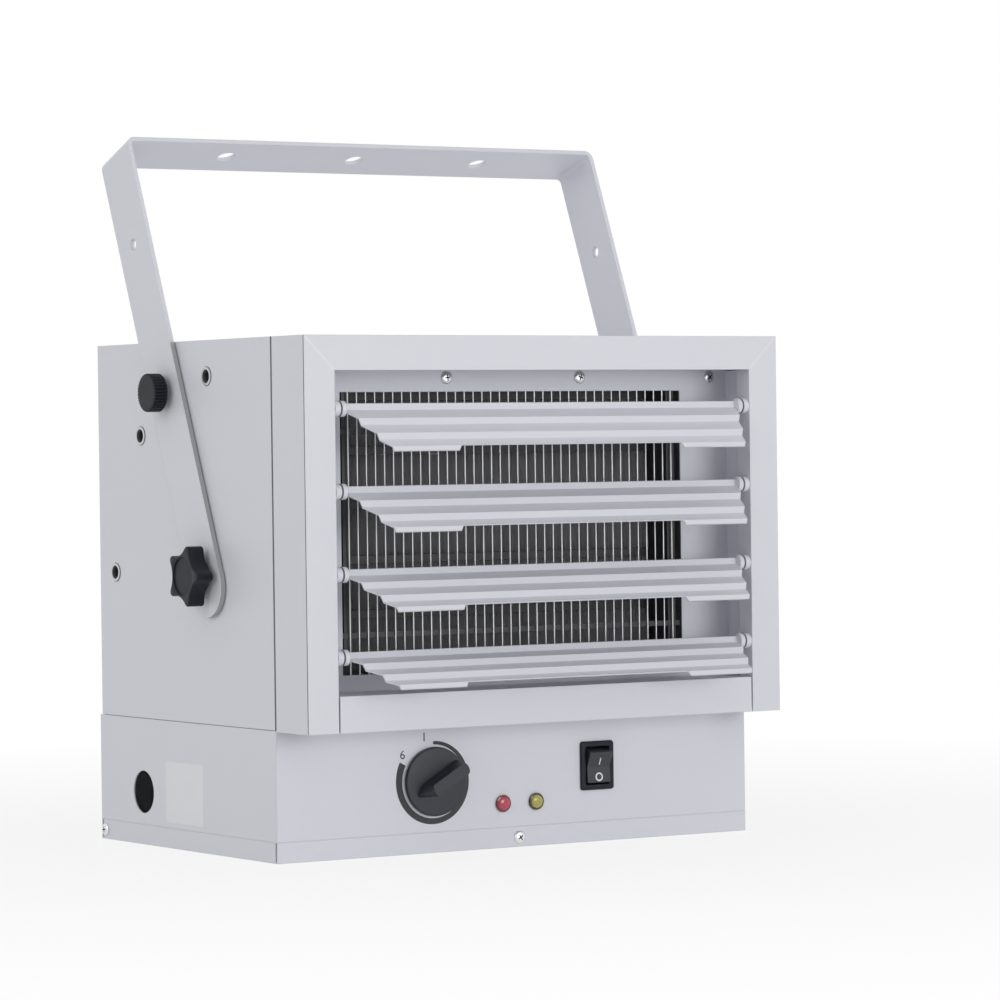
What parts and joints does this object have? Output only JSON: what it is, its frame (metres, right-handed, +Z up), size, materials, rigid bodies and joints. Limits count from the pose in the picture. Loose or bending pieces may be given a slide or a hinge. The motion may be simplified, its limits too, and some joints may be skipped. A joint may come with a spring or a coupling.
{
  "type": "garage heater",
  "caption": "Boxy fan-forced garage heater with stepped swivelling louvers, a control box under it and a tilting U bracket with clamp knobs.",
  "frame": {"origin": "middle of the lower box's footprint, on the floor that it stands on", "axes": "+X to the heater's own right as seen from the front, +Y to its back, +Z up"},
  "size_m": [0.4004, 0.3107, 0.4666],
  "materials": {
    "cream": "satin powder coat",
    "black": "moulded matt black",
    "gloss_black": "moulded semi-gloss black",
    "zinc": "bright zinc",
    "plain_steel": "plated sheet",
    "aluminium": "mill finish",
    "wire": "bright wire",
    "dark_motor": "dark enamel",
    "red_lens": "clear red lens",
    "amber_lens": "clear amber lens",
    "grey_plastic": "moulded"
  },
  "bodies": {
    "housing": {"cabinet_shell": "cream", "rear_panel": "cream", "control_box": "cream", "control_rear_cover": "cream", "bulkhead": "cream", "bottom_tray": "cream", "front_bezel": "cream", "bottom_rail": "cream", "front_baffle": "cream", "louver_pins": "zinc", "index_nuts": "zinc", "pivot_nuts": "zinc", "baffle_screws": "zinc", "tray_screws": "zinc", "fan_shroud": "plain_steel", "motor_strap": "plain_steel", "core_channel_left": "plain_steel", "core_channel_right": "plain_steel", "heating_bars": "aluminium", "heating_fins": "aluminium", "outlet_guard": "wire", "fan_motor": "dark_motor", "rocker_housing": "black", "thermostat_body": "grey_plastic", "terminal_block": "grey_plastic", "heat_relay": "grey_plastic", "limit_switch": "grey_plastic", "caution_lamp": "red_lens", "power_lamp": "amber_lens"},
    "bracket": {"tilt_bracket": "cream"},
    "clamp_left": {"star_knob_left": "black"},
    "clamp_right": {"star_knob_right": "black"},
    "lock_left": {"thumb_screw_left": "black"},
    "lock_right": {"thumb_screw_right": "black"},
    "dial": {"thermostat_knob": "black"},
    "rocker": {"rocker_paddle": "gloss_black"},
    "fan": {"fan_rotor": "aluminium", "fan_shaft": "zinc"},
    "louver_1": {"louver_1": "cream"},
    "louver_2": {"louver_2": "cream"},
    "louver_3": {"louver_3": "cream"},
    "louver_4": {"louver_4": "cream"}
  },
  "joints": [
    {"name": "bracket_tilt", "type": "hinge", "parent": "housing", "child": "bracket", "pos_m": [0, -0.0349, 0.179], "axis": [-1, 0, 0], "range_deg": [-22.5, 67.5]},
    {"name": "clamp_turn_left", "type": "hinge", "parent": "housing", "child": "clamp_left", "pos_m": [-0.19, -0.0349, 0.179], "axis": [-1, 0, 0], "range_deg": [0, 360]},
    {"name": "clamp_turn_right", "type": "hinge", "parent": "housing", "child": "clamp_right", "pos_m": [0.19, -0.0349, 0.179], "axis": [1, 0, 0], "range_deg": [0, 360]},
    {"name": "lock_screw_left", "type": "slide", "parent": "bracket", "child": "lock_left", "axis": [1, 0, 0], "range_m": [0, 0.0035]},
    {"name": "lock_screw_right", "type": "slide", "parent": "bracket", "child": "lock_right", "axis": [-1, 0, 0], "range_m": [0, 0.0035]},
    {"name": "louver_turn_1", "type": "hinge", "parent": "housing", "child": "louver_1", "pos_m": [0, -0.15395, 0.28415], "axis": [1, 0, 0], "range_deg": [-40.6, 34.4]},
    {"name": "louver_turn_2", "type": "hinge", "parent": "housing", "child": "louver_2", "pos_m": [0, -0.15395, 0.23255], "axis": [1, 0, 0], "range_deg": [-38, 37]},
    {"name": "louver_turn_3", "type": "hinge", "parent": "housing", "child": "louver_3", "pos_m": [0, -0.15395, 0.18095], "axis": [1, 0, 0], "range_deg": [-34, 41]},
    {"name": "louver_turn_4", "type": "hinge", "parent": "housing", "child": "louver_4", "pos_m": [0, -0.15395, 0.12935], "axis": [1, 0, 0], "range_deg": [-28.4, 46.6]},
    {"name": "dial_turn", "type": "hinge", "parent": "housing", "child": "dial", "pos_m": [-0.065, -0.12, 0.0458], "axis": [0, -1, 0], "range_deg": [-238, 58]},
    {"name": "rocker_tip", "type": "hinge", "parent": "housing", "child": "rocker", "pos_m": [0.0605, -0.11615, 0.0498], "axis": [-1, 0, 0], "range_deg": [0, 20]},
    {"name": "fan_spin", "type": "hinge", "parent": "housing", "child": "fan", "pos_m": [0, 0.05, 0.20675], "axis": [0, -1, 0], "continuous": true}
  ]
}
